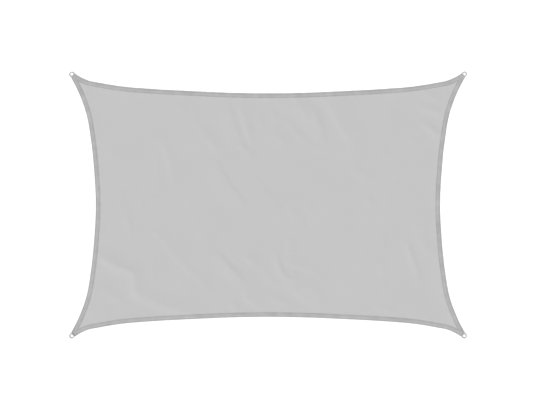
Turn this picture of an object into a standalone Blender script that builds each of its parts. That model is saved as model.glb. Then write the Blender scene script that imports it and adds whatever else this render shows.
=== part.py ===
"""A rectangular shade sail with hollow edges, laid flat, with a D-ring in each corner.

Metres, +Z up. The origin is under the middle of the cloth, on the surface that
the sail lies on, and the long edges run along X.
"""

import math
from collections import namedtuple

import bmesh
import bpy
from mathutils import Vector

# The sail's size, from ring centre to ring centre
LENGTH = 3.0
WIDTH = 2.0

# Half of each edge, from its middle to past the corner: how far out it stands
Station = namedtuple("Station", "along out")
LONG_EDGE = (
    Station(0.000, 0.8542),
    Station(0.300, 0.8591),
    Station(0.600, 0.8722),
    Station(0.900, 0.8887),
    Station(1.130, 0.9088),
    Station(1.290, 0.9353),
    Station(1.385, 0.9560),
    Station(1.420, 0.9716),
    Station(1.480, 1.0050),
    Station(1.560, 1.0480),
)
SHORT_EDGE = (
    Station(0.000, 1.3157),
    Station(0.250, 1.3272),
    Station(0.500, 1.3527),
    Station(0.720, 1.3938),
    Station(0.860, 1.4462),
    Station(0.970, 1.5010),
    Station(1.060, 1.5490),
)

# The hem, and how thick the cloth lies: one layer, folded once, and where hems cross
HEM_WIDTH = 0.036
HEM_STEP = 0.003
PANEL_THICK = 0.0012
HEM_THICK = 0.0020
CORNER_THICK = 0.0028

# Grid of the cloth: cells from hem to hem, along and across
CELLS_ALONG = 84
CELLS_ACROSS = 56

# Soft creases left from folding, each a low ridge between two ends. bow is how far
# its middle stands off the straight line, to its left
Crease = namedtuple("Crease", "x0 y0 x1 y1 bow height half_width")
CREASES = (
    Crease(-1.26, -0.38, -0.92, -0.66, 0.030, 0.0050, 0.055),
    Crease(-1.30, -0.58, -0.70, -0.80, -0.030, 0.0040, 0.060),
    Crease(-0.92, -0.18, -0.42, -0.76, 0.035, 0.0035, 0.060),
    Crease(-1.13, 0.14, -1.00, -0.24, 0.015, 0.0030, 0.050),
    Crease(-0.86, 0.56, -0.74, 0.14, 0.020, 0.0030, 0.050),
    Crease(-0.62, 0.60, -0.28, 0.26, -0.015, 0.0030, 0.055),
    Crease(-0.40, 0.36, -0.14, -0.02, 0.012, 0.0045, 0.045),
    Crease(-0.24, 0.78, -0.08, 0.42, 0.014, 0.0045, 0.050),
    Crease(0.26, 0.82, 0.64, 0.42, -0.025, 0.0050, 0.055),
    Crease(0.14, 0.52, 0.44, 0.26, 0.012, 0.0030, 0.050),
    Crease(-0.38, -0.34, -0.10, -0.60, 0.012, 0.0045, 0.050),
    Crease(-0.16, -0.44, 0.42, -0.79, 0.030, 0.0040, 0.060),
    Crease(0.06, -0.38, 0.26, -0.63, -0.012, 0.0045, 0.045),
    Crease(-0.28, -0.70, -0.02, -0.83, 0.008, 0.0035, 0.045),
    Crease(0.60, 0.28, 0.86, 0.06, 0.012, 0.0025, 0.055),
    Crease(1.08, -0.22, 1.20, -0.58, 0.014, 0.0035, 0.050),
    Crease(1.16, 0.80, 1.30, 0.46, -0.014, 0.0040, 0.050),
)

# D-ring: wire, and its bent line, whose round end is centred on the ring centre
WIRE_RADIUS = 0.0030
ARC_RADIUS = 0.0160
BAR_IN = 0.0150
BEND_RADIUS = 0.0038
ARC_STEPS = 18
BEND_STEPS = 4
WIRE_ROUNDING = 3

# The cloth's tip. It rises from its root, turns over the bar and runs back beneath as
# a flap, which the sheet above lies on until it eases down to the floor. Each place
# is given by how far in it is from the ring centre, square to the bar
TIP_THICK = 0.0011
TIP_HALF_WIDTH = 0.0119
ROOT_IN = 0.0250
FLAP_HALF_WIDTH = 0.0107
FLAP_END_IN = 0.0480
FLAP_END_HALF_WIDTH = 0.0070
LIFT_END_IN = 0.0520
FLOOR_IN = 0.0850
TipRow = namedtuple("TipRow", "place_in place_z half_width thick")
Shoulder = namedtuple("Shoulder", "share half_width thick")
SHOULDERS = (
    Shoulder(0.50, 0.0212, 0.0018),
    Shoulder(0.85, 0.0204, 0.0014),
)

# Room between two pieces, or between the sheet and its own flap
CLEARANCE = 0.0003
WRAP_STEP = math.radians(31.0)
WRAP_END = math.radians(270.0)
WRAP_RADIUS = (WIRE_RADIUS + CLEARANCE) / math.cos(WRAP_STEP / 2)
BAR_Z = TIP_THICK + WRAP_RADIUS
LIFT = TIP_THICK + CLEARANCE

CORNERS = {
    "front_left": (-1, -1),
    "front_right": (1, -1),
    "back_left": (-1, 1),
    "back_right": (1, 1),
}
CORNER_REACH = 0.2
SLOPE_STEP = 0.001
SOLVE_ROUNDS = 16
CUT_TOLERANCE = 1e-6
ON_CUT = 1e-5

CLOTH_GREY = (0.56, 0.56, 0.56)
STEEL_GREY = (0.60, 0.60, 0.61)


def smooth_edge(stations):
    """Return a function that gives an edge's distance out, smooth through its stations."""
    spans = [b.along - a.along for a, b in zip(stations, stations[1:])]
    rises = [(b.out - a.out) / span for a, b, span in zip(stations, stations[1:], spans)]
    slopes = [0.0]
    for i in range(1, len(rises)):
        mixed = rises[i - 1] * spans[i] + rises[i] * spans[i - 1]
        slopes.append(mixed / (spans[i - 1] + spans[i]))
    slopes.append(rises[-1])

    def out(along):
        along = abs(along)
        i = max(k for k in range(len(spans)) if stations[k].along <= along)
        t = (along - stations[i].along) / spans[i]
        start, end = stations[i].out, stations[i + 1].out
        bend = (1 - t) * slopes[i] - t * slopes[i + 1]
        turn = (1 - 2 * t) * rises[i]
        return start + t * (end - start) + t * (1 - t) * spans[i] * (bend - turn)

    return out


long_edge = smooth_edge(LONG_EDGE)
short_edge = smooth_edge(SHORT_EDGE)


def slant(edge, along):
    """How much longer a step along the axis is than one square to the edge."""
    rise = edge(along + SLOPE_STEP) - edge(along - SLOPE_STEP)
    return math.hypot(1.0, rise / (2 * SLOPE_STEP))


def grid_lines(cells):
    """The cloth's lines from one edge to the other, as (share of the way out, inset)."""
    inner = HEM_WIDTH + HEM_STEP
    middle = [(2 * k / cells - 1, inner) for k in range(cells + 1)]
    return [(-1, 0.0), (-1, HEM_WIDTH), *middle, (1, HEM_WIDTH), (1, 0.0)]


def line_place(edge, line, along):
    share, inset = line
    return share * (edge(along) - inset * slant(edge, along))


def grid_node(line_x, line_y):
    """Where two of the cloth's lines cross."""
    x = y = 0.0
    for _ in range(SOLVE_ROUNDS):
        x = line_place(short_edge, line_x, y)
        y = line_place(long_edge, line_y, x)
    return x, y


def corner_frame(signs):
    """A corner's ring centre, its direction outwards and its direction along the bar."""
    sx, sy = signs
    centre = Vector((sx * LENGTH / 2, sy * WIDTH / 2, 0.0))
    outwards = Vector((sx, sy, 0.0)).normalized()
    along_bar = Vector((-sy, sx, 0.0)).normalized()
    return centre, outwards, along_bar


def inwards(place, signs):
    centre, outwards, _ = corner_frame(signs)
    return (centre - place).dot(outwards)


def ease(t):
    t = min(max(t, 0.0), 1.0)
    return t * t * (3 - 2 * t)


def crease_height(crease, x, y):
    """Height of one crease at a point: a bell across it, fading out to both ends."""
    start = Vector((crease.x0, crease.y0))
    run = Vector((crease.x1, crease.y1)) - start
    length = run.length
    step = Vector((x, y)) - start
    t = step.dot(run) / length**2
    if not 0.0 < t < 1.0:
        return 0.0
    arch = math.sin(math.pi * t)
    aside = (run.x * step.y - run.y * step.x) / length - crease.bow * arch
    if abs(aside) >= crease.half_width:
        return 0.0
    bell = math.cos(math.pi / 2 * aside / crease.half_width) ** 2
    return crease.height * arch * bell


def underside_z(place):
    """How far the cloth stands off the surface: on its creases and over its turned tips."""
    height = sum(crease_height(crease, place.x, place.y) for crease in CREASES)
    nearest = min(inwards(place, signs) for signs in CORNERS.values())
    return height + LIFT * ease((FLOOR_IN - nearest) / (FLOOR_IN - LIFT_END_IN))


def layers_thick(place):
    """Thickness of the cloth, by how many hems run through this place."""
    from_side = (short_edge(place.y) - abs(place.x)) / slant(short_edge, place.y)
    from_end = (long_edge(place.x) - abs(place.y)) / slant(long_edge, place.x)
    hems = sum(distance < HEM_WIDTH + HEM_STEP / 2 for distance in (from_side, from_end))
    return (PANEL_THICK, HEM_THICK, CORNER_THICK)[hems]


def tip_path():
    """Rows along the tip's inner side, from the sheet over the bar and back beneath."""
    away = Vector((ROOT_IN - BAR_IN, LIFT - BAR_Z))
    tangent = math.atan2(away.y, away.x) + math.acos(WRAP_RADIUS / away.length)
    touch_in = BAR_IN + WRAP_RADIUS * math.cos(tangent)
    touch_z = BAR_Z + WRAP_RADIUS * math.sin(tangent)
    rows = []
    for row in SHOULDERS:
        place_in = ROOT_IN + row.share * (touch_in - ROOT_IN)
        place_z = LIFT + row.share * (touch_z - LIFT)
        rows.append(TipRow(place_in, place_z, row.half_width, row.thick))
    wrap = WRAP_END - tangent
    steps = math.ceil(wrap / WRAP_STEP)
    for k in range(steps + 1):
        angle = tangent + wrap * k / steps
        place_in = BAR_IN + WRAP_RADIUS * math.cos(angle)
        place_z = BAR_Z + WRAP_RADIUS * math.sin(angle)
        rows.append(TipRow(place_in, place_z, TIP_HALF_WIDTH, TIP_THICK))
    rows.append(TipRow(ROOT_IN, TIP_THICK, FLAP_HALF_WIDTH, TIP_THICK))
    rows.append(TipRow(FLAP_END_IN, TIP_THICK, FLAP_END_HALF_WIDTH, TIP_THICK))
    return rows


def cut_corner(bm, signs, place_in, clear):
    """Cut the cloth square to the corner's bar, and drop what lies beyond if asked."""
    centre, outwards, _ = corner_frame(signs)
    faces = [f for f in bm.faces if (f.calc_center_median() - centre).length < CORNER_REACH]
    edges = dict.fromkeys(e for f in faces for e in f.edges)
    verts = dict.fromkeys(v for f in faces for v in f.verts)
    bmesh.ops.bisect_plane(
        bm,
        geom=[*faces, *edges, *verts],
        dist=CUT_TOLERANCE,
        plane_co=centre - outwards * place_in,
        plane_no=outwards,
        clear_outer=clear,
    )


def on_root(edge, signs):
    """Whether an edge lies on the cut that a corner's tip starts from."""
    return edge.is_boundary and all(
        abs(inwards(v.co, signs) - ROOT_IN) < ON_CUT for v in edge.verts
    )


def turn_tip(bm, signs, thickness):
    """Run the cloth on from a corner's cut, over the ring's bar and back beneath."""
    centre, outwards, along_bar = corner_frame(signs)
    edges = [e for e in bm.edges if on_root(e, signs)]
    verts = dict.fromkeys(v for e in edges for v in e.verts)
    reach = {v: (v.co - centre).dot(along_bar) for v in verts}
    low, high = min(reach.values()), max(reach.values())
    across = {v: (2 * reach[v] - low - high) / (high - low) for v in verts}
    for row in tip_path():
        made = bmesh.ops.extrude_edge_only(bm, edges=edges)["geom"]
        edges = [e for e in made if isinstance(e, bmesh.types.BMEdge)]
        moved = {}
        for v in dict.fromkeys(v for e in edges for v in e.verts):
            source = min(across, key=lambda old: (old.co - v.co).length)
            moved[v] = across[source]
        for v, share in moved.items():
            v.co = centre - outwards * row.place_in + along_bar * share * row.half_width
            v.co.z = row.place_z
            thickness[v] = row.thick
        across = moved


def make_material(name, colour, roughness, metallic):
    material = bpy.data.materials.new(name)
    material.use_nodes = True
    shader = material.node_tree.nodes["Principled BSDF"]
    shader.inputs["Base Color"].default_value = (*colour, 1.0)
    shader.inputs["Roughness"].default_value = roughness
    shader.inputs["Metallic"].default_value = metallic
    return material


def make_sail(collection, material):
    """The cloth's underside as one open surface, thickened upwards by a modifier."""
    bm = bmesh.new()
    lines_x = grid_lines(CELLS_ALONG)
    lines_y = grid_lines(CELLS_ACROSS)
    bmesh.ops.create_grid(
        bm, x_segments=len(lines_x) - 1, y_segments=len(lines_y) - 1, size=1.0
    )
    for v in bm.verts:
        column = round((v.co.x + 1) / 2 * (len(lines_x) - 1))
        row = round((v.co.y + 1) / 2 * (len(lines_y) - 1))
        v.co.x, v.co.y = grid_node(lines_x[column], lines_y[row])
    for signs in CORNERS.values():
        cut_corner(bm, signs, FLOOR_IN, clear=False)
        cut_corner(bm, signs, LIFT_END_IN, clear=False)
        cut_corner(bm, signs, ROOT_IN, clear=True)
    thickness = {v: layers_thick(v.co) for v in bm.verts}
    for v in bm.verts:
        v.co.z = underside_z(v.co)
    for signs in CORNERS.values():
        turn_tip(bm, signs, thickness)
    bm.verts.index_update()
    weights = {v.index: thick / CORNER_THICK for v, thick in thickness.items()}
    mesh = bpy.data.meshes.new("sail")
    bm.to_mesh(mesh)
    bm.free()
    mesh.materials.append(material)

    sail = bpy.data.objects.new("sail", mesh)
    collection.objects.link(sail)
    group = sail.vertex_groups.new(name="thickness")
    for index, weight in weights.items():
        group.add([index], weight, "REPLACE")
    solidify = sail.modifiers.new("thickness", "SOLIDIFY")
    solidify.thickness = CORNER_THICK
    solidify.offset = 1.0
    solidify.vertex_group = group.name
    return sail


def ring_line():
    """The ring wire's middle line in its own plane: x outwards from the bar, y along it."""
    points = []
    for k in range(ARC_STEPS + 1):
        angle = -math.pi / 2 + math.pi * k / ARC_STEPS
        points.append((BAR_IN + ARC_RADIUS * math.cos(angle), ARC_RADIUS * math.sin(angle)))
    for side, steps in ((1, range(BEND_STEPS + 1)), (-1, range(BEND_STEPS, -1, -1))):
        for k in steps:
            turn = math.pi / 2 * k / BEND_STEPS
            x = BEND_RADIUS * (1 - math.sin(turn))
            y = side * (ARC_RADIUS - BEND_RADIUS * (1 - math.cos(turn)))
            points.append((x, y))
    return points


def make_rings(collection, material):
    """Four bent and welded wire rings, each with its bar in a corner's loop."""
    curve = bpy.data.curves.new("d_ring", "CURVE")
    curve.dimensions = "3D"
    curve.bevel_depth = WIRE_RADIUS
    curve.bevel_resolution = WIRE_ROUNDING
    points = ring_line()
    spline = curve.splines.new("POLY")
    spline.points.add(len(points) - 1)
    for point, (x, y) in zip(spline.points, points):
        point.co = (x, y, 0.0, 1.0)
    spline.use_cyclic_u = True
    curve.materials.append(material)
    dip = math.asin((BAR_Z - WIRE_RADIUS) / (BAR_IN + ARC_RADIUS))
    for name, signs in CORNERS.items():
        centre, outwards, _ = corner_frame(signs)
        ring = bpy.data.objects.new(f"ring_{name}", curve)
        ring.location = centre - outwards * BAR_IN
        ring.location.z = BAR_Z
        ring.rotation_euler = (0.0, dip, math.atan2(outwards.y, outwards.x))
        collection.objects.link(ring)


def main():
    for old in list(bpy.data.objects):
        bpy.data.objects.remove(old)
    collection = bpy.data.collections.new("Shade sail")
    bpy.context.scene.collection.children.link(collection)
    cloth = make_material("woven polyester", CLOTH_GREY, roughness=0.85, metallic=0.0)
    steel = make_material("stainless steel", STEEL_GREY, roughness=0.25, metallic=1.0)
    make_sail(collection, cloth)
    make_rings(collection, steel)


main()
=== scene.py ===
import math

import bmesh
import bpy
import numpy as np
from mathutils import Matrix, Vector


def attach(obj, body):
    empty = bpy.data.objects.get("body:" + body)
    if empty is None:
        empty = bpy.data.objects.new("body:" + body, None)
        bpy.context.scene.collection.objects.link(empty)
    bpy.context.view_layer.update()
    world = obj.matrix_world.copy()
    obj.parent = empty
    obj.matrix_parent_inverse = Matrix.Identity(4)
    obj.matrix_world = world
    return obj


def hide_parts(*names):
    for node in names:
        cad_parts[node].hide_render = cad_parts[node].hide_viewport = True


# A grey shade sail laid flat: one hemmed sheet of coated cloth with hollow edges, its
# stitching, and a steel D-ring held in the turned tip of each corner. Metres, +Z up.

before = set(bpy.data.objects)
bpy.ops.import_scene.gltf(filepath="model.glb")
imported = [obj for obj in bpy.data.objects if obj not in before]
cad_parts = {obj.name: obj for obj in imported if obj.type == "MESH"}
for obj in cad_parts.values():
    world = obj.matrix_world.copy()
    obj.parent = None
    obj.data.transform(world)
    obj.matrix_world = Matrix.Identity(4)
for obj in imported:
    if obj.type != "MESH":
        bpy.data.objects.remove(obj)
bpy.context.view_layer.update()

corners = {"front_left": (-1, -1), "front_right": (1, -1), "back_left": (-1, 1), "back_right": (1, 1)}
body = "root"
mm = 0.001
hair = 0.01 * mm  # closer than this counts as touching


# small helpers used all through

def linear(hexColour):  # "#rrggbb" in sRGB to linear RGBA
    parts = [int(hexColour[i:i + 2], 16) / 255 for i in (1, 3, 5)]
    return (*[c / 12.92 if c <= 0.04045 else ((c + 0.055) / 1.055) ** 2.4 for c in parts], 1.0)


def addNode(tree, kind, settings, inputs):  # an input is a value, or a socket to link from
    node = tree.nodes.new(kind)
    for name, value in settings.items():
        setattr(node, name, value)
    for name, value in inputs.items():
        if isinstance(value, bpy.types.NodeSocket):
            tree.links.new(value, node.inputs[name])
        else:
            node.inputs[name].default_value = value
    return node


def maths(tree, operation, *values):
    return addNode(tree, "ShaderNodeMath", {"operation": operation}, dict(enumerate(values))).outputs[0]


def newMaterial(name):
    material = bpy.data.materials.new(name)
    material.use_nodes = True
    tree = material.node_tree
    tree.nodes.clear()
    shader = addNode(tree, "ShaderNodeBsdfPrincipled", {}, {})
    addNode(tree, "ShaderNodeOutputMaterial", {}, {"Surface": shader.outputs[0]})
    return material, tree, shader


def setInputs(node, **values):  # words joined by _ stand for the socket's name
    for name, value in values.items():
        node.inputs[name.replace("_", " ")].default_value = value


def smooth(t):
    t = np.clip(t, 0.0, 1.0)
    return t * t * (3 - 2 * t)


def plainMesh(source, name):  # what the modifiers make of an object, as a plain mesh object
    view = bpy.context.evaluated_depsgraph_get()
    mesh = bpy.data.meshes.new_from_object(source.evaluated_get(view))
    mesh.name = name
    bpy.data.objects.remove(source)
    return linked(name, mesh)


def linked(name, data):
    made = bpy.data.objects.new(name, data)
    bpy.context.scene.collection.objects.link(made)
    return made


# outline of the sail, as half of each edge: (distance from its middle, how far out)

sail = {
    "length": 3.0,  # ring centre to ring centre
    "width": 2.0,
    "longEdge": (
        (0.000, 0.8542), (0.300, 0.8591), (0.600, 0.8722), (0.900, 0.8887), (1.130, 0.9088),
        (1.290, 0.9353), (1.385, 0.9560), (1.420, 0.9716), (1.480, 1.0050), (1.560, 1.0480),
    ),
    "shortEdge": (
        (0.000, 1.3157), (0.250, 1.3272), (0.500, 1.3527), (0.720, 1.3938), (0.860, 1.4462),
        (0.970, 1.5010), (1.060, 1.5490),
    ),
    "hem": 36 * mm,
    "outerRow": 6.5 * mm,  # the hem's two stitch rows, in from the edge
    "innerRow": 31.0 * mm,
    "rowDip": 1.6 * mm,  # half width of the dent that a row pulls into the cloth
    "rowDepth": 0.35 * mm,
    "fold": 0.9 * mm,  # how far in the folded edge is rounded
    "foldRise": 0.35 * mm,
    "hemStep": 0.8 * mm,  # how far past its width a hem thins out to the cloth
    "gridIn": 44.0 * mm,  # the even grid of cells starts this far in from the edges
    "cell": 11.8 * mm,
    "settleRounds": 16,  # how often the grid's two sets of lines are fitted to each other
    "layers": (0.6 * mm, 1.4 * mm, 2.2 * mm),  # thickness of the cloth, of a hem, of crossed hems
}


def edgeOut(stations, along):  # a smooth curve through the stations
    at, out = np.array(stations).T
    spans, along = np.diff(at), np.abs(along)
    rises = np.diff(out) / spans
    mixed = (rises[:-1] * spans[1:] + rises[1:] * spans[:-1]) / (spans[:-1] + spans[1:])
    slopes = np.concatenate([[0.0], mixed, rises[-1:]])
    i = np.clip(np.searchsorted(at, along, side="right") - 1, 0, len(spans) - 1)
    t = (along - at[i]) / spans[i]
    bend = (1 - t) * slopes[i] - t * slopes[i + 1]
    turn = (1 - 2 * t) * rises[i]
    return out[i] + t * (out[i + 1] - out[i]) + t * (1 - t) * spans[i] * (bend - turn)


def slant(stations, along):  # a step along the axis against one square to the edge
    step = 1 * mm
    rise = edgeOut(stations, along + step) - edgeOut(stations, along - step)
    return np.hypot(1.0, rise / (2 * step))


def fromEdges(x, y):  # how far in from the nearest short edge and from the nearest long edge
    side = (edgeOut(sail["shortEdge"], y) - np.abs(x)) / slant(sail["shortEdge"], y)
    end = (edgeOut(sail["longEdge"], x) - np.abs(y)) / slant(sail["longEdge"], x)
    return side, end


def inwards(x, y):  # how far in from the nearest ring centre, square to its bar
    return (sail["length"] / 2 - np.abs(x) + sail["width"] / 2 - np.abs(y)) / math.sqrt(2)


def cornerFrame(signs):
    centre = Vector((signs[0] * sail["length"] / 2, signs[1] * sail["width"] / 2, 0.0))
    return centre, Vector((*signs, 0.0)).normalized(), Vector((-signs[1], signs[0], 0.0)).normalized()


# creases: points in metres, then in mm the height, and the width to the left
# and to the right of the way from the first point to the last

creases = (
    # lower left
    (((-1.42, -.345), (-1.28, -.412), (-1.20, -.45), (-1.13, -.48), (-1.055, -.505), (-1.022, -.535),
      (-1.015, -.59), (-1.00, -.655), (-.965, -.697), (-.90, -.73)), 4.6, 115, 84),
    (((-1.25, -.42), (-1.20, -.445), (-1.13, -.475), (-1.055, -.50), (-1.02, -.53), (-1.012, -.59),
      (-1.00, -.65), (-.97, -.69)), 2.0, 42, 55),
    (((-1.045, -.62), (-.99, -.685), (-.90, -.725), (-.80, -.77), (-.68, -.805), (-.50, -.86)),
     4.8, 130, 75),
    (((-1.29, -.60), (-1.22, -.67), (-1.15, -.72), (-1.10, -.80)), 2.4, 80, 75),
    (((-1.40, -.345), (-1.30, -.392), (-1.21, -.435), (-1.12, -.475)), 2.6, 150, 46),
    (((-1.045, -.64), (-.985, -.685)), 1.4, 60, 36),
    (((-1.34, -.42), (-1.29, -.52)), 1.2, 45, 45),
    (((-1.39, -.78), (-1.35, -.86)), 1.1, 50, 50),
    (((-.87, -.17), (-.78, -.28), (-.735, -.36), (-.665, -.44), (-.58, -.525), (-.505, -.59), (-.445, -.67),
      (-.37, -.75)), 1.7, 66, 45),
    (((-.92, -.17), (-.86, -.21), (-.81, -.27)), 1.3, 35, 40),
    (((-1.09, -.04), (-1.065, -.12), (-1.045, -.26)), 2.2, 40, 60),
    (((-.90, -.30), (-.885, -.45), (-.87, -.62)), 0.9, 50, 50),
    # lower middle
    (((-.43, -.345), (-.345, -.415), (-.29, -.475), (-.22, -.52)), 3.8, 40, 120),
    (((-.33, -.47), (-.265, -.512), (-.225, -.55), (-.20, -.63)), 3.4, 52, 90),
    (((-.20, -.37), (-.135, -.42), (-.10, -.47)), 2.8, 100, 45),
    (((-.12, -.44), (-.04, -.51), (.05, -.60), (.12, -.66)), 1.6, 100, 45),
    (((-.17, -.59), (-.165, -.67), (-.15, -.72), (-.09, -.76), (-.03, -.82)), 2.8, 150, 45),
    (((-.29, -.71), (-.25, -.77), (-.21, -.84)), 2.2, 40, 60),
    (((.055, -.31), (.078, -.42), (.095, -.49), (.14, -.545), (.20, -.575), (.25, -.62)), 3.2, 36, 60),
    (((.11, -.40), (.18, -.45), (.25, -.472), (.35, -.485)), 2.3, 90, 36),
    (((.17, -.50), (.205, -.53), (.22, -.58)), 1.3, 30, 30),
    (((.00, -.66), (.06, -.71), (.13, -.745), (.22, -.80)), 2.2, 45, 90),
    (((.10, -.58), (.20, -.65), (.29, -.71), (.35, -.78)), 2.2, 150, 50),
    (((.29, -.57), (.355, -.66), (.39, -.74), (.41, -.82)), 1.9, 75, 90),
    (((.09, -.27), (.095, -.37)), 1.2, 30, 40),
    (((.165, -.23), (.165, -.38)), 1.2, 60, 40),
    # lower right
    (((1.075, -.25), (1.085, -.34), (1.11, -.41), (1.135, -.49), (1.155, -.57), (1.17, -.65)), 2.3, 36, 60),
    (((1.065, -.28), (1.09, -.37), (1.12, -.45)), 1.7, 46, 45),
    (((1.27, -.28), (1.305, -.45), (1.34, -.62), (1.37, -.78)), 1.7, 40, 120),
    (((1.15, -.22), (1.20, -.31), (1.215, -.40)), 2.0, 80, 55),
    (((.87, -.22), (.885, -.36)), 1.6, 70, 45),
    (((.865, -.42), (.88, -.55)), 1.6, 45, 70),
    (((.88, -.57), (.88, -.66)), 1.0, 60, 45),
    (((.765, .08), (.785, -.01)), 2.0, 48, 60),
    (((.915, .07), (.92, .0)), 1.1, 60, 45),
    (((.80, -.79), (.90, -.80), (1.00, -.82)), 1.9, 60, 40),
    (((1.345, -.69), (1.35, -.76)), 1.2, 35, 35),
    (((1.03, -.16), (1.035, -.22)), 1.0, 40, 40),
    (((1.13, -.13), (1.13, -.20)), 1.0, 35, 45),
    # upper left
    (((-.91, .57), (-.86, .51), (-.805, .47), (-.775, .41), (-.755, .34), (-.735, .25), (-.73, .12)),
     1.9, 90, 42),
    (((-.87, .42), (-.845, .33), (-.835, .20)), 1.2, 30, 35),
    (((-.90, .20), (-.85, .165), (-.83, .10)), 1.3, 60, 45),
    (((-1.23, .41), (-1.16, .35)), 1.3, 70, 60),
    (((-1.05, .13), (-1.00, .07)), 1.4, 60, 45),
    (((-1.115, .12), (-1.12, .06), (-1.12, -.02)), 1.4, 30, 60),
    (((-1.08, .0), (-1.06, -.04)), 1.0, 40, 35),
    (((-.97, .05), (-.96, -.04)), 1.3, 35, 50),
    (((-.89, .07), (-.84, .01)), 1.2, 60, 45),
    (((-.67, .76), (-.64, .71)), 1.2, 50, 40),
    (((-.52, .54), (-.45, .495), (-.40, .43), (-.38, .38)), 2.5, 90, 48),
    (((-.58, .64), (-.50, .57), (-.44, .53)), 1.1, 60, 50),
    (((-.42, .37), (-.36, .265), (-.33, .22), (-.29, .15), (-.235, .085), (-.18, .01), (-.13, -.06)),
     2.8, 32, 160),
    # upper middle
    (((-.22, .79), (-.19, .69), (-.165, .60), (-.135, .50), (-.11, .43)), 2.8, 70, 38),
    (((-.34, .82), (-.29, .71), (-.265, .64), (-.235, .56), (-.205, .48), (-.17, .42)), 2.6, 40, 150),
    (((-.21, .48), (-.14, .40), (-.07, .31)), 1.2, 36, 80),
    (((-.24, .47), (-.20, .45), (-.17, .41)), 1.7, 35, 35),
    (((-.055, .66), (-.05, .58)), 1.3, 30, 35),
    (((.03, .72), (.075, .64)), 1.6, 35, 60),
    (((.17, .84), (.23, .775), (.275, .71), (.29, .62)), 3.2, 60, 130),
    (((.01, .56), (.09, .51), (.17, .44)), 2.3, 110, 80),
    (((-.09, .84), (-.01, .833), (.07, .82)), 2.0, 25, 40),
    (((.22, .84), (.33, .735), (.372, .67), (.40, .58), (.42, .50), (.45, .40)), 4.0, 58, 160),
    (((.42, .86), (.49, .73), (.535, .64), (.585, .56), (.63, .48), (.66, .39)), 3.5, 180, 55),
    (((.12, .65), (.21, .57), (.30, .48), (.37, .40)), 2.0, 42, 65),
    (((.35, .46), (.40, .39)), 1.2, 60, 40),
    # middle
    (((-.06, .16), (-.02, .10), (.04, .03)), 1.4, 45, 55),
    (((.085, .02), (.09, -.05), (.11, -.12)), 1.2, 32, 50),
    (((.165, .02), (.19, -.04), (.22, -.11)), 1.2, 50, 50),
    (((.285, .03), (.31, -.03), (.33, -.10)), 1.2, 60, 36),
    (((.25, -.10), (.28, -.20)), 1.0, 36, 50),
    (((.58, -.17), (.63, -.26)), 1.0, 60, 60),
    (((.53, -.07), (.60, -.12)), 0.8, 60, 45),
    (((-.52, -.16), (-.49, -.27)), 1.0, 60, 60),
    (((-.37, -.21), (-.29, -.23)), 0.8, 45, 36),
    # upper right
    (((1.16, .66), (1.21, .612), (1.255, .57), (1.30, .535), (1.36, .51)), 3.8, 55, 46),
    (((1.12, .76), (1.20, .735), (1.28, .715), (1.38, .67)), 3.0, 60, 48),
    (((1.13, .89), (1.20, .86), (1.27, .82), (1.33, .77)), 2.2, 60, 50),
    (((.62, .29), (.70, .245), (.77, .19)), 1.4, 60, 40),
    (((.77, .24), (.79, .17)), 1.0, 40, 60),
    (((.93, .75), (.94, .70)), 0.9, 35, 45),
    (((1.11, .52), (1.12, .46)), 1.0, 35, 50),
    (((.885, .43), (.89, .34)), 0.8, 60, 45),
    (((.98, .18), (1.01, .12)), 1.0, 50, 40),
)
crease = {
    "steps": 10,  # pieces of curve between two points
    "sharpness": 0.5,  # 0 for a round crest, 1 for a folded one
}


pucker = {  # low waves that the sewing leaves along a hem
    "height": 1.6 * mm,
    "wave": 85 * mm,
    "swing": 2.5,  # how unevenly the waves are spaced
    "swingWave": 410 * mm,
    "swell": 0.35,  # how much their height changes from place to place
    "swellWave": 230 * mm,
    "fade": 45 * mm,  # they die out this far into the cloth
}


def creaseRoute(points):  # a smooth curve through a crease's points
    p = np.array(points, float)
    if len(p) == 2:
        p = np.array([p[0], p.mean(0), p[1]])
    ends = np.vstack([2 * p[0] - p[1], p, 2 * p[-1] - p[-2]])
    t = np.linspace(0, 1, crease["steps"], endpoint=False)[:, None]
    pieces = []
    for a, b, c, d in zip(ends, ends[1:], ends[2:], ends[3:]):
        pieces.append(0.5 * (2 * b + (c - a) * t + (2 * a - 5 * b + 4 * c - d) * t ** 2
                             + (3 * b - a - 3 * c + d) * t ** 3))
    return np.vstack([*pieces, p[-1:]])


def creaseHeight(x, y, points, height, left, right):  # a bell across, that fades out to both ends
    route = creaseRoute(points)
    steps = np.diff(route, axis=0)
    lengths = np.hypot(*steps.T)
    done = np.concatenate([[0.0], np.cumsum(lengths)])
    reach = max(left, right) * mm
    near = ((x > route[:, 0].min() - reach) & (x < route[:, 0].max() + reach)
            & (y > route[:, 1].min() - reach) & (y < route[:, 1].max() + reach))
    px, py = x[near], y[near]
    best, side, along = np.full(px.shape, reach), np.ones(px.shape), np.zeros(px.shape)
    for start, step, length, before in zip(route, steps, lengths, done):
        share = np.clip(((px - start[0]) * step[0] + (py - start[1]) * step[1]) / length ** 2, 0, 1)
        dx, dy = px - start[0] - share * step[0], py - start[1] - share * step[1]
        away = np.hypot(dx, dy)
        closer = away < best
        best = np.where(closer, away, best)
        side = np.where(closer, step[0] * dy - step[1] * dx, side)
        along = np.where(closer, before + share * length, along)
    width = np.where(side > 0, left, right) * mm
    share = math.pi / 2 * np.clip(best / width, 0, 1)
    bell = crease["sharpness"] * (1 - np.sin(share)) + (1 - crease["sharpness"]) * np.cos(share) ** 2
    made = np.zeros(x.shape)
    made[near] = height * mm * bell * np.sin(math.pi * along / done[-1])
    return made


# the cloth's tip: up from its root, over the ring's bar and back beneath as a flap

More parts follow.
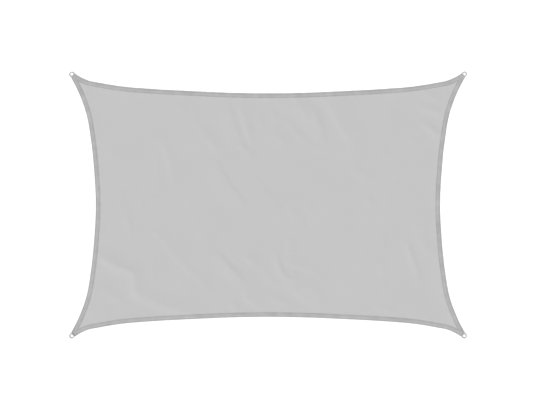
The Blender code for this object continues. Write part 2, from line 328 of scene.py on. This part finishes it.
tip = {
    "wire": 3.0 * mm,  # radius of the ring's wire
    "barIn": 15.0 * mm,  # the bar, in from the ring centre, as all that ends in In is
    "thick": 1.1 * mm,  # the cloth round the bar and in the flap
    "gap": 0.3 * mm,  # between the flap and the sheet above it
    "wrap": 3.42 * mm,  # inner radius of the cloth round the bar
    "bendSteps": 6,
    "riseShares": (0.35, 0.6, 0.78, 0.9, 0.96, 1.0),  # of the way up, closer together where it narrows
    "wrapSteps": 20,
    "flapSteps": 7,
    "rootIn": 31.0 * mm,  # where the sheet ends and the tip starts
    "kneeIn": 25.5 * mm,  # where it would turn upwards if it weren't rounded
    "halfWidths": (  # (in from the ring centre, half width), from the root to the bar
        (31.0 * mm, 24.2 * mm), (25.0 * mm, 22.0 * mm), (20.0 * mm, 20.7 * mm), (18.2 * mm, 20.2 * mm),
        (17.6 * mm, 19.4 * mm), (17.25 * mm, 17.4 * mm), (17.1 * mm, 14.0 * mm), (17.03 * mm, 11.9 * mm),
    ),
    "tongue": 11.9 * mm,  # half width round the bar
    "flapEndIn": 48.0 * mm,
    "flapEndHalf": 7.0 * mm,
    "liftEndIn": 52.0 * mm,  # the sheet lies on the flap up to here, and on the floor from floorIn
    "floorIn": 85.0 * mm,
    "reach": 200 * mm,  # a corner's faces lie within this of the ring centre
    "rows": ((23.0 * mm, 17.0 * mm), (43.0 * mm, 22.0 * mm)),  # rows across: (in, half length)
}
tip["barZ"] = tip["thick"] + tip["wrap"]
tip["lift"] = tip["thick"] + tip["gap"]


def tipRows():  # rows along the tip's inner side: in, height, half width, thickness
    away = np.array([tip["kneeIn"] - tip["barIn"], tip["lift"] - tip["barZ"]])
    tangent = math.atan2(away[1], away[0]) + math.acos(tip["wrap"] / np.hypot(*away))
    bar = np.array([tip["barIn"], tip["barZ"]])
    touch = bar + tip["wrap"] * np.array([math.cos(tangent), math.sin(tangent)])
    root, knee = np.array([tip["rootIn"], tip["lift"]]), np.array([tip["kneeIn"], tip["lift"]])
    bendEnd = (knee + touch) / 2
    path = []
    for t in np.linspace(0, 1, tip["bendSteps"] + 1)[1:]:  # the bend up from the root
        path.append((1 - t) ** 2 * root + 2 * t * (1 - t) * knee + t ** 2 * bendEnd)
    for t in tip["riseShares"]:
        path.append(bendEnd + t * (touch - bendEnd))
    widthIn, widthHalf = np.array(tip["halfWidths"])[::-1].T
    rows = []
    for k, (placeIn, z) in enumerate(path):
        half = np.interp(placeIn, widthIn, widthHalf)
        thick = np.interp(k, (0, len(path) - 1), (sail["layers"][2], tip["thick"]))
        rows.append((placeIn, z, half, thick))
    beneath = math.radians(270)
    for angle in np.linspace(tangent, beneath, tip["wrapSteps"] + 1)[1:]:
        placeIn = tip["barIn"] + tip["wrap"] * math.cos(angle)
        rows.append((placeIn, tip["barZ"] + tip["wrap"] * math.sin(angle), tip["tongue"], tip["thick"]))
    for t in np.linspace(0, 1, tip["flapSteps"] + 1)[1:]:
        placeIn = tip["barIn"] + t * (tip["flapEndIn"] - tip["barIn"])
        half = tip["tongue"] + t * (tip["flapEndHalf"] - tip["tongue"])
        rows.append((placeIn, tip["thick"], half, tip["thick"]))
    return rows


def gridLines(cells):  # the cloth's lines from one edge to the other: (share of the way, inset)
    hem, dip, fold, step = sail["hem"], sail["rowDip"], sail["fold"], sail["hemStep"]
    insets = [0.0, fold / 3, fold]
    for row in (sail["outerRow"], sail["innerRow"]):
        insets += [row - dip, row, row + dip]
    insets += [hem / 2, hem - step / 2, hem, hem + step, hem + 2 * step]
    insets = np.sort(insets)
    middle = [(2 * k / cells - 1, sail["gridIn"]) for k in range(cells + 1)]
    return np.array([*[(-1, i) for i in insets], *middle, *[(1, i) for i in insets[::-1]]])


def hemLayers(side, end):  # 0 on the cloth, 1 on a hem, 2 where two hems cross
    return sum(smooth(1 - (d - sail["hem"]) / sail["hemStep"]) for d in (side, end))


def rowDents(side, end):  # 1 along the middle of each stitch row, 0 away from them
    dents = np.zeros(np.shape(side))
    for row in (sail["outerRow"], sail["innerRow"]):
        for d, other in ((side, end), (end, side)):
            sewn = smooth(1 + (other - row) / sail["rowDip"])
            dents = np.maximum(dents, sewn * smooth(1 - np.abs(d - row) / sail["rowDip"]))
    return dents


def clothThickness(x, y):
    side, end = fromEdges(x, y)
    hems = hemLayers(side, end)
    thick = np.interp(hems, (0, 1, 2), sail["layers"]) - sail["rowDepth"] * rowDents(side, end)
    return thick - sail["fold"] * (1 - smooth(np.minimum(side, end) / sail["fold"]))


def puckerHeight(along, inset, place):  # place is a number that shifts the waves from edge to edge
    turns = 2 * math.pi * along
    swing = pucker["swing"] * np.sin(turns / pucker["swingWave"] + place)
    swell = 1 + pucker["swell"] * (np.sin(turns / pucker["swellWave"] + 2 * place) - 1)
    wave = (1 + np.sin(turns / pucker["wave"] + swing)) / 2
    return pucker["height"] * swell * wave * smooth(1 - (inset - sail["hem"]) / pucker["fade"])


def clothUnderside(x, y):  # how far the cloth stands off the floor
    z = sum(creaseHeight(x, y, *row) for row in creases)
    side, end = fromEdges(x, y)
    raised = smooth((tip["floorIn"] - inwards(x, y)) / (tip["floorIn"] - tip["liftEndIn"]))
    puckers = puckerHeight(x, end, np.sign(y)) + puckerHeight(y, side, 2 + np.sign(x))
    edge = sail["foldRise"] * (1 - smooth(np.minimum(side, end) / sail["fold"]))
    return np.maximum(z, 0.0) + (1 - raised) * puckers + tip["lift"] * raised + edge


def cutCorner(bm, signs, placeIn, clear):
    centre, outwards, _ = cornerFrame(signs)
    faces = [f for f in bm.faces if (f.calc_center_median() - centre).length < tip["reach"]]
    parts = [*faces, *dict.fromkeys(e for f in faces for e in f.edges),
             *dict.fromkeys(v for f in faces for v in f.verts)]
    bmesh.ops.bisect_plane(bm, geom=parts, dist=hair, plane_co=centre - outwards * placeIn,
                           plane_no=outwards, clear_outer=clear)


def turnTip(bm, signs, thickAt):
    centre, outwards, alongBar = cornerFrame(signs)
    edges = [e for e in bm.edges if e.is_boundary and all(
        abs((centre - v.co).dot(outwards) - tip["rootIn"]) < hair for v in e.verts)]
    reach = {v: (v.co - centre).dot(alongBar) for v in dict.fromkeys(v for e in edges for v in e.verts)}
    low, high = min(reach.values()), max(reach.values())
    across = {v: ((2 * r - low - high) / (high - low), r) for v, r in reach.items()}
    for k, (placeIn, z, half, thick) in enumerate(tipRows()):
        own = 1 - smooth((k + 1) / tip["bendSteps"])  # the widths run on from the sheet's own
        made = bmesh.ops.extrude_edge_only(bm, edges=edges)["geom"]
        edges = [e for e in made if isinstance(e, bmesh.types.BMEdge)]
        moved = {}
        for v in dict.fromkeys(v for e in edges for v in e.verts):
            moved[v] = across[min(across, key=lambda old: (old.co - v.co).length)]
        for v, (share, r) in moved.items():
            v.co = centre - outwards * placeIn + alongBar * (own * r + (1 - own) * share * half)
            v.co.z = z
            thickAt[v] = thick
        across = moved


def makeSheet():
    linesX = gridLines(round(2 * sail["shortEdge"][0][1] / sail["cell"]))
    linesY = gridLines(round(2 * sail["longEdge"][0][1] / sail["cell"]))
    shareX, insetX = linesX[:, 0][None, :], linesX[:, 1][None, :]
    shareY, insetY = linesY[:, 0][:, None], linesY[:, 1][:, None]
    x = np.zeros((len(linesY), len(linesX)))
    y = np.zeros(x.shape)
    for _ in range(sail["settleRounds"]):  # x depends on y and y on x
        x = shareX * (edgeOut(sail["shortEdge"], y) - insetX * slant(sail["shortEdge"], y))
        y = shareY * (edgeOut(sail["longEdge"], x) - insetY * slant(sail["longEdge"], x))
    bm = bmesh.new()
    bmesh.ops.create_grid(bm, x_segments=x.shape[1] - 1, y_segments=x.shape[0] - 1, size=1.0)
    for v in bm.verts:
        column = round((v.co.x + 1) / 2 * (x.shape[1] - 1))
        row = round((v.co.y + 1) / 2 * (x.shape[0] - 1))
        v.co.x, v.co.y = x[row, column], y[row, column]
    for signs in corners.values():
        cutCorner(bm, signs, tip["floorIn"], clear=False)
        cutCorner(bm, signs, tip["liftEndIn"], clear=False)
        cutCorner(bm, signs, tip["rootIn"], clear=True)
    flat = np.array([v.co for v in bm.verts])
    under = clothUnderside(flat[:, 0], flat[:, 1])
    thick = clothThickness(flat[:, 0], flat[:, 1])
    thickAt = {}
    for v, z, t in zip(bm.verts, under, thick):
        v.co.z = z
        thickAt[v] = t
    for signs in corners.values():
        turnTip(bm, signs, thickAt)
    bm.verts.index_update()
    thickest = sail["layers"][2]
    weights = {v.index: t / thickest for v, t in thickAt.items()}
    mesh = bpy.data.meshes.new("clothSurface")
    bm.to_mesh(mesh)
    bm.free()
    surface = linked("clothSurface", mesh)
    group = surface.vertex_groups.new(name="thickness")
    for index, weight in weights.items():
        group.add([index], weight, "REPLACE")
    solidify = surface.modifiers.new("thickness", "SOLIDIFY")
    solidify.thickness = thickest
    solidify.offset = 1.0
    solidify.vertex_group = "thickness"
    sheet = plainMesh(surface, "cloth")
    sheet.vertex_groups.clear()
    sheet.data.shade_smooth()
    markCloth(sheet.data)
    return sheet


def markCloth(mesh):  # what the cloth's material reads: how many layers lie here, and the seams, whose dents it darkens with painted shade
    co = np.zeros(len(mesh.vertices) * 3)
    mesh.vertices.foreach_get("co", co)
    x, y = co.reshape(-1, 3)[:, :2].T
    side, end = fromEdges(x, y)
    turned = inwards(x, y) < tip["rootIn"]
    hems = np.where(turned, 2.0, hemLayers(side, end))
    seam = np.where(turned, 0.0, rowDents(side, end))
    for name, values in (("hems", hems), ("seam", seam)):
        mesh.attributes.new(name, "FLOAT", "POINT").data.foreach_set("value", values)


cloth = {
    "colour": "#bdbdbd",
    "hemColour": "#aeaeae",
    "seamShadeShare": 0.20,  # painted shade: how much darker the cloth is drawn in the dent of a stitch row, where shade falls
    "thread": 2.0 * mm,  # spacing of the weave as drawn
    "threadRound": 0.4,  # below 1, a thread stays full up to where it dives under the next
    "weaveHeight": 0.08 * mm,
    "cloud": 0.035,  # how much the dye varies from place to place
    "cloudSize": 260 * mm,
    "hemCloud": 0.32,  # the same in the hems, where the layers lie unevenly
    "hemCloudSize": 70 * mm,
}


def makeClothMaterial():
    # Coated woven polyester: matt, evenly dyed, a fine plain weave under a thin coating.
    # Two layers let less light through, so hems look darker. The real threads lie 0.5 mm
    # apart, too fine to show, so the weave is drawn four times as coarse
    material, tree, shader = newMaterial("coated woven polyester")
    setInputs(shader, Roughness=0.78, IOR=1.45, Sheen_Weight=0.08, Sheen_Roughness=0.5)
    place = addNode(tree, "ShaderNodeTexCoord", {}, {}).outputs["Object"]
    axes = addNode(tree, "ShaderNodeSeparateXYZ", {}, {"Vector": place})
    warp = maths(tree, "SINE", maths(tree, "MULTIPLY", axes.outputs["X"], math.pi / cloth["thread"]))
    weft = maths(tree, "SINE", maths(tree, "MULTIPLY", axes.outputs["Y"], math.pi / cloth["thread"]))
    over = maths(tree, "GREATER_THAN", maths(tree, "MULTIPLY", warp, weft), 0.0)
    warpWide, weftWide = maths(tree, "ABSOLUTE", warp), maths(tree, "ABSOLUTE", weft)
    warpOver = maths(tree, "MULTIPLY", warpWide, maths(tree, "POWER", weftWide, cloth["threadRound"]))
    weftOver = maths(tree, "MULTIPLY", weftWide, maths(tree, "POWER", warpWide, cloth["threadRound"]))
    weave = addNode(tree, "ShaderNodeMix", {"data_type": "FLOAT"}, {0: over, 2: weftOver, 3: warpOver})
    bump = addNode(tree, "ShaderNodeBump", {}, {
        "Height": weave.outputs[0], "Distance": cloth["weaveHeight"], "Strength": 1.0})
    tree.links.new(bump.outputs[0], shader.inputs["Normal"])

    hems = addNode(tree, "ShaderNodeAttribute", {"attribute_name": "hems"}, {}).outputs["Fac"]
    seam = addNode(tree, "ShaderNodeAttribute", {"attribute_name": "seam"}, {}).outputs["Fac"]
    doubled = maths(tree, "MINIMUM", hems, 1.0)
    colour = addNode(tree, "ShaderNodeMix", {"data_type": "RGBA"}, {
        0: doubled, 6: linear(cloth["colour"]), 7: linear(cloth["hemColour"])})
    clouds = addNode(tree, "ShaderNodeTexNoise", {}, {
        "Vector": place, "Scale": 1 / cloth["cloudSize"], "Detail": 3.0})
    dye = maths(tree, "MULTIPLY_ADD", clouds.outputs["Fac"], cloth["cloud"], 1 - cloth["cloud"] / 2)
    layers = addNode(tree, "ShaderNodeTexNoise", {}, {
        "Vector": place, "Scale": 1 / cloth["hemCloudSize"], "Detail": 1.0})
    uneven = maths(tree, "MULTIPLY", maths(tree, "SUBTRACT", layers.outputs["Fac"], 0.5), cloth["hemCloud"])
    dye = maths(tree, "MULTIPLY_ADD", uneven, doubled, dye)
    # painted shade in the dents of the stitch rows, darkest where the seam attribute is 1
    paintedDentShade = maths(tree, "MULTIPLY_ADD", seam, -cloth["seamShadeShare"], 1.0)
    shade = addNode(tree, "ShaderNodeVectorMath", {"operation": "SCALE"}, {
        0: colour.outputs[2], "Scale": maths(tree, "MULTIPLY", dye, paintedDentShade)})
    tree.links.new(shade.outputs[0], shader.inputs["Base Color"])
    return material


stitch = {
    "pitch": 6.0 * mm,
    "length": 5.2 * mm,
    "width": 1.5 * mm,  # drawn wider than the real 0.9 mm, so that the rows show
    "height": 0.8 * mm,
    "ball": (6, 4),  # sides and rings of the stretched ball that a stitch is
    "wander": 3.0,  # degrees that a stitch may turn off its row
    "seed": 7,
    "rowStep": 5.0 * mm,  # between two points of a row's line
    "rowEnd": 3.0 * mm,  # a row along an edge stops this far from the row by the bar
    "drop": 50 * mm,  # rows start this far from the floor, and fall onto the cloth
    "fibre": 2.0 * mm,
    "fibreHeight": 0.1 * mm,
    "colours": ("#707070", "#8a8a8a"),
}


def makeThreadMaterial():
    # Bonded polyester sewing thread, twisted and dyed: a soft low sheen, darker than the cloth
    material, tree, shader = newMaterial("bonded polyester thread")
    setInputs(shader, Roughness=0.6, IOR=1.5, Sheen_Weight=0.1)
    place = addNode(tree, "ShaderNodeTexCoord", {}, {}).outputs["Object"]
    fibres = addNode(tree, "ShaderNodeTexNoise", {}, {
        "Vector": place, "Scale": 1 / stitch["fibre"], "Detail": 2.0})
    ramp = addNode(tree, "ShaderNodeMix", {"data_type": "RGBA"}, {
        0: fibres.outputs["Fac"], 6: linear(stitch["colours"][0]), 7: linear(stitch["colours"][1])})
    tree.links.new(ramp.outputs[2], shader.inputs["Base Color"])
    bump = addNode(tree, "ShaderNodeBump", {}, {
        "Height": fibres.outputs["Fac"], "Distance": stitch["fibreHeight"], "Strength": 0.5})
    tree.links.new(bump.outputs[0], shader.inputs["Normal"])
    return material


def rowPoints(edge, inset, flip):  # one stitch row along an edge, where both hems' rows meet
    span = sail["length"] if edge == "longEdge" else sail["width"]
    far = np.linspace(-span / 2, span / 2, round(span / stitch["rowStep"]) + 1)
    out = edgeOut(sail[edge], far) - inset * slant(sail[edge], far)
    x, y = (far, flip * out) if edge == "longEdge" else (flip * out, far)
    side, end = fromEdges(x, y)
    other = side if edge == "longEdge" else end
    keep = (other >= inset) & (inwards(x, y) > tip["rows"][0][0] + stitch["rowEnd"])
    return np.column_stack([x[keep], y[keep]])


def stitchRows():
    rows = []
    for edge in ("longEdge", "shortEdge"):
        for inset in (sail["outerRow"], sail["innerRow"]):
            for flip in (-1, 1):
                rows.append(rowPoints(edge, inset, flip))
    for signs in corners.values():
        centre, outwards, alongBar = cornerFrame(signs)
        for placeIn, half in tip["rows"]:
            ends = [centre - outwards * placeIn + alongBar * s * half for s in (-1, 1)]
            rows.append(np.array([ends[0][:2], ends[1][:2]]))
    return rows


def makeStitchTree(material):
    tree = bpy.data.node_groups.new("stitches along rows", "GeometryNodeTree")
    face = tree.interface
    face.new_socket("Geometry", in_out="INPUT", socket_type="NodeSocketGeometry")
    face.new_socket("Cloth", in_out="INPUT", socket_type="NodeSocketObject")
    for name in ("Pitch", "Length", "Width", "Height", "Wander", "From Above", "Drop"):
        face.new_socket(name, in_out="INPUT", socket_type="NodeSocketFloat")
    face.new_socket("Seed", in_out="INPUT", socket_type="NodeSocketInt")
    face.new_socket("Geometry", in_out="OUTPUT", socket_type="NodeSocketGeometry")
    given = addNode(tree, "NodeGroupInput", {}, {}).outputs
    points = addNode(tree, "GeometryNodeResampleCurve", {"mode": "LENGTH"}, {
        "Curve": given["Geometry"], "Length": given["Pitch"]})
    target = addNode(tree, "GeometryNodeObjectInfo", {}, {"Object": given["Cloth"]})
    down = addNode(tree, "ShaderNodeCombineXYZ", {}, {
        "Z": maths(tree, "MULTIPLY", given["From Above"], -1.0)})
    hit = addNode(tree, "GeometryNodeRaycast", {}, {
        "Target Geometry": target.outputs["Geometry"], "Ray Direction": down.outputs[0],
        "Ray Length": maths(tree, "MULTIPLY", given["Drop"], 2.0)})
    ahead = addNode(tree, "GeometryNodeInputTangent", {}, {})
    turned = addNode(tree, "FunctionNodeAlignRotationToVector", {"axis": "X"}, {"Vector": ahead.outputs[0]})
    stood = addNode(tree, "FunctionNodeAlignRotationToVector", {"axis": "Z", "pivot_axis": "X"}, {
        "Rotation": turned.outputs[0], "Vector": hit.outputs["Hit Normal"]})
    kept = addNode(tree, "GeometryNodeCaptureAttribute", {}, {"Geometry": points.outputs[0]})
    kept.capture_items.new("ROTATION", "Turn")
    tree.links.new(stood.outputs[0], kept.inputs["Turn"])
    placed = addNode(tree, "GeometryNodeSetPosition", {}, {
        "Geometry": kept.outputs[0], "Position": hit.outputs["Hit Position"]})
    ball = addNode(tree, "GeometryNodeMeshUVSphere", {}, {
        "Segments": stitch["ball"][0], "Rings": stitch["ball"][1], "Radius": 0.5})
    size = addNode(tree, "ShaderNodeCombineXYZ", {}, {
        "X": given["Length"], "Y": given["Width"], "Z": given["Height"]})
    shaped = addNode(tree, "GeometryNodeTransform", {}, {
        "Geometry": ball.outputs[0], "Scale": size.outputs[0]})
    least = maths(tree, "MULTIPLY", given["Wander"], -1.0)
    wander = addNode(tree, "FunctionNodeRandomValue", {"data_type": "FLOAT"}, {
        2: least, 3: given["Wander"], "Seed": given["Seed"]})
    spin = addNode(tree, "ShaderNodeCombineXYZ", {}, {"Z": wander.outputs[1]})
    euler = addNode(tree, "FunctionNodeEulerToRotation", {}, {0: spin.outputs[0]})
    turn = addNode(tree, "FunctionNodeRotateRotation", {"rotation_space": "LOCAL"}, {
        0: kept.outputs["Turn"], 1: euler.outputs[0]})
    laid = addNode(tree, "GeometryNodeInstanceOnPoints", {}, {
        "Points": placed.outputs[0], "Instance": shaped.outputs[0], "Rotation": turn.outputs[0]})
    real = addNode(tree, "GeometryNodeRealizeInstances", {}, {"Geometry": laid.outputs[0]})
    rounded = addNode(tree, "GeometryNodeSetShadeSmooth", {}, {"Geometry": real.outputs[0]})
    done = addNode(tree, "GeometryNodeSetMaterial", {}, {
        "Geometry": rounded.outputs[0], "Material": material})
    addNode(tree, "NodeGroupOutput", {}, {"Geometry": done.outputs[0]})
    return tree


def setTreeInputs(modifier, **values):
    sockets = {s.name: s.identifier for s in modifier.node_group.interface.items_tree
               if s.item_type == "SOCKET" and s.in_out == "INPUT"}
    for name, value in values.items():
        modifier[sockets[name.replace("_", " ")]] = value


def makeStitches(name, tree, sheet, fromAbove):
    curve = bpy.data.curves.new(name, "CURVE")
    curve.dimensions = "3D"
    for row in stitchRows():
        spline = curve.splines.new("POLY")
        spline.points.add(len(row) - 1)
        for point, (x, y) in zip(spline.points, row):
            point.co = (x, y, fromAbove * stitch["drop"], 1.0)
    rows = linked(name, curve)
    nodes = rows.modifiers.new("stitches", "NODES")
    nodes.node_group = tree
    setTreeInputs(nodes, Cloth=sheet, Pitch=stitch["pitch"], Length=stitch["length"],
                  Width=stitch["width"], Height=stitch["height"], Wander=math.radians(stitch["wander"]),
                  From_Above=fromAbove, Drop=stitch["drop"], Seed=stitch["seed"])
    return plainMesh(rows, name)


ring = {
    "arc": 16.0 * mm,  # radius of the wire's middle line round the arc
    "bend": 3.8 * mm,  # the same where it turns into the bar
    "arcSteps": 48,
    "bendSteps": 8,
    "sides": 20,
    "marks": 1.5 * mm,  # size of the drawing marks
    "gloss": (0.16, 0.32),  # least and most roughness
    "colours": ("#b9b9bb", "#c6c6c8"),
}


def makeSteelMaterial():
    # Stainless steel wire, drawn, bent, welded and polished: bright, with faint drawing marks
    material, tree, shader = newMaterial("polished stainless steel")
    setInputs(shader, Metallic=1.0)
    place = addNode(tree, "ShaderNodeTexCoord", {}, {}).outputs["Object"]
    marks = addNode(tree, "ShaderNodeTexNoise", {}, {
        "Vector": place, "Scale": 1 / ring["marks"], "Detail": 3.0})
    gloss = addNode(tree, "ShaderNodeMapRange", {}, {
        "Value": marks.outputs["Fac"], "To Min": ring["gloss"][0], "To Max": ring["gloss"][1]})
    tree.links.new(gloss.outputs[0], shader.inputs["Roughness"])
    tint = addNode(tree, "ShaderNodeMix", {"data_type": "RGBA"}, {
        0: marks.outputs["Fac"], 6: linear(ring["colours"][0]), 7: linear(ring["colours"][1])})
    tree.links.new(tint.outputs[2], shader.inputs["Base Color"])
    return material


def ringPoints(signs):  # the wire's middle line: round the arc, then along the bar
    centre, outwards, alongBar = cornerFrame(signs)
    flat = []
    for angle in np.linspace(-math.pi / 2, math.pi / 2, ring["arcSteps"] + 1):
        flat.append((tip["barIn"] + ring["arc"] * math.cos(angle), ring["arc"] * math.sin(angle)))
    turns = np.linspace(0, math.pi / 2, ring["bendSteps"] + 1)
    for side, order in ((1, turns), (-1, turns[::-1])):
        for turn in order:
            flat.append((ring["bend"] * (1 - math.sin(turn)),
                         side * (ring["arc"] - ring["bend"] * (1 - math.cos(turn)))))
    dip = math.asin((tip["barZ"] - tip["wire"]) / (tip["barIn"] + ring["arc"]))  # the arc meets the floor
    bar = centre - outwards * tip["barIn"] + Vector((0, 0, tip["barZ"]))
    return [bar + outwards * (x * math.cos(dip)) + alongBar * y - Vector((0, 0, x * math.sin(dip)))
            for x, y in flat]


def makeWireTree(material):
    tree = bpy.data.node_groups.new("round wire", "GeometryNodeTree")
    tree.interface.new_socket("Geometry", in_out="INPUT", socket_type="NodeSocketGeometry")
    tree.interface.new_socket("Radius", in_out="INPUT", socket_type="NodeSocketFloat")
    tree.interface.new_socket("Sides", in_out="INPUT", socket_type="NodeSocketInt")
    tree.interface.new_socket("Geometry", in_out="OUTPUT", socket_type="NodeSocketGeometry")
    given = addNode(tree, "NodeGroupInput", {}, {}).outputs
    section = addNode(tree, "GeometryNodeCurvePrimitiveCircle", {}, {
        "Resolution": given["Sides"], "Radius": given["Radius"]})
    wire = addNode(tree, "GeometryNodeCurveToMesh", {}, {
        "Curve": given["Geometry"], "Profile Curve": section.outputs[0]})
    real = addNode(tree, "GeometryNodeRealizeInstances", {}, {"Geometry": wire.outputs[0]})
    rounded = addNode(tree, "GeometryNodeSetShadeSmooth", {}, {"Geometry": real.outputs[0]})
    done = addNode(tree, "GeometryNodeSetMaterial", {}, {
        "Geometry": rounded.outputs[0], "Material": material})
    addNode(tree, "NodeGroupOutput", {}, {"Geometry": done.outputs[0]})
    return tree


def makeRing(name, signs, tree):
    curve = bpy.data.curves.new(name, "CURVE")
    curve.dimensions = "3D"
    points = ringPoints(signs)
    spline = curve.splines.new("POLY")
    spline.points.add(len(points) - 1)
    for point, place in zip(spline.points, points):
        point.co = (*place, 1.0)
    spline.use_cyclic_u = True
    line = linked(name, curve)
    nodes = line.modifiers.new("wire", "NODES")
    nodes.node_group = tree
    setTreeInputs(nodes, Radius=tip["wire"], Sides=ring["sides"])
    return plainMesh(line, name)


studio = {
    "floorSize": 80.0,
    "floorZ": -0.6 * mm,  # clear of the stitches beneath the cloth
    "floorColour": "#fbfbfb",
    "floorGlow": 0.12,  # a light table under the paper, which keeps shadows faint
    "sky": 0.70,  # strength of the even light from all round
    "sun": 1.96,
    "glint": 0.12,  # the share of the sun that shows in the steel: all of it would wash the rings out
    "sunTilt": 50,  # degrees from overhead
    "sunFrom": 222,  # degrees anticlockwise from +X
    "sunSize": 16,  # degrees across
    "field": 4.104,  # metres that the picture is wide
    "lens": 80,
    "sensor": 36,
    "aim": (0.0046, 0.0013, 0.0015),  # a little off the middle, as the photo is
}


def makeStage():
    mesh = bpy.data.meshes.new("floor")
    bm = bmesh.new()
    bmesh.ops.create_grid(bm, x_segments=1, y_segments=1, size=studio["floorSize"] / 2)
    bm.to_mesh(mesh)
    bm.free()
    floor = linked("floor", mesh)
    floor.location.z = studio["floorZ"]
    material, _, shader = newMaterial("matt white paper")
    setInputs(shader, Base_Color=linear(studio["floorColour"]), Roughness=0.95, Specular_IOR_Level=0.1,
              Emission_Color=(1, 1, 1, 1), Emission_Strength=studio["floorGlow"])
    mesh.materials.append(material)

    world = bpy.data.worlds.new("studio")
    bpy.context.scene.world = world
    world.use_nodes = True
    background = world.node_tree.nodes["Background"]
    background.inputs["Color"].default_value = (1, 1, 1, 1)
    background.inputs["Strength"].default_value = studio["sky"]

    tilt, turn = math.radians(studio["sunTilt"]), math.radians(studio["sunFrom"])
    towards = Vector((math.sin(tilt) * math.cos(turn), math.sin(tilt) * math.sin(turn), math.cos(tilt)))
    for name, share in (("soft key", 1 - studio["glint"]), ("glint", studio["glint"])):
        light = bpy.data.lights.new(name, "SUN")
        light.energy = studio["sun"] * share
        light.angle = math.radians(studio["sunSize"])
        lamp = linked(name, light)
        lamp.visible_glossy = name == "glint"  # the other shows in no reflection
        lamp.rotation_mode = "QUATERNION"
        lamp.rotation_quaternion = towards.to_track_quat("Z", "Y")


def makeCamera():
    data = bpy.data.cameras.new("camera")
    data.lens, data.sensor_width = studio["lens"], studio["sensor"]
    camera = linked("camera", data)
    camera.location = studio["aim"]
    camera.location.z += studio["field"] * studio["lens"] / studio["sensor"]
    bpy.context.scene.camera = camera


makeStage()
makeCamera()
bpy.context.scene.view_settings.view_transform = "Standard"
print("stage, light and camera are set")

sheet = makeSheet()
sheet.data.materials.append(makeClothMaterial())
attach(sheet, body)
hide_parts("sail")
print("cloth:", len(sheet.data.polygons), "faces")

stitchTree = makeStitchTree(makeThreadMaterial())
stitchesAbove = makeStitches("stitchesAbove", stitchTree, sheet, 1.0)
stitchesBeneath = makeStitches("stitchesBeneath", stitchTree, sheet, -1.0)
for stitches in (stitchesAbove, stitchesBeneath):
    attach(stitches, body)
    print(stitches.name, len(stitches.data.polygons), "faces")

wireTree = makeWireTree(makeSteelMaterial())
for place, signs in corners.items():
    dRing = makeRing("dRing_" + place, signs, wireTree)
    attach(dRing, body)
    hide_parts("ring_" + place)
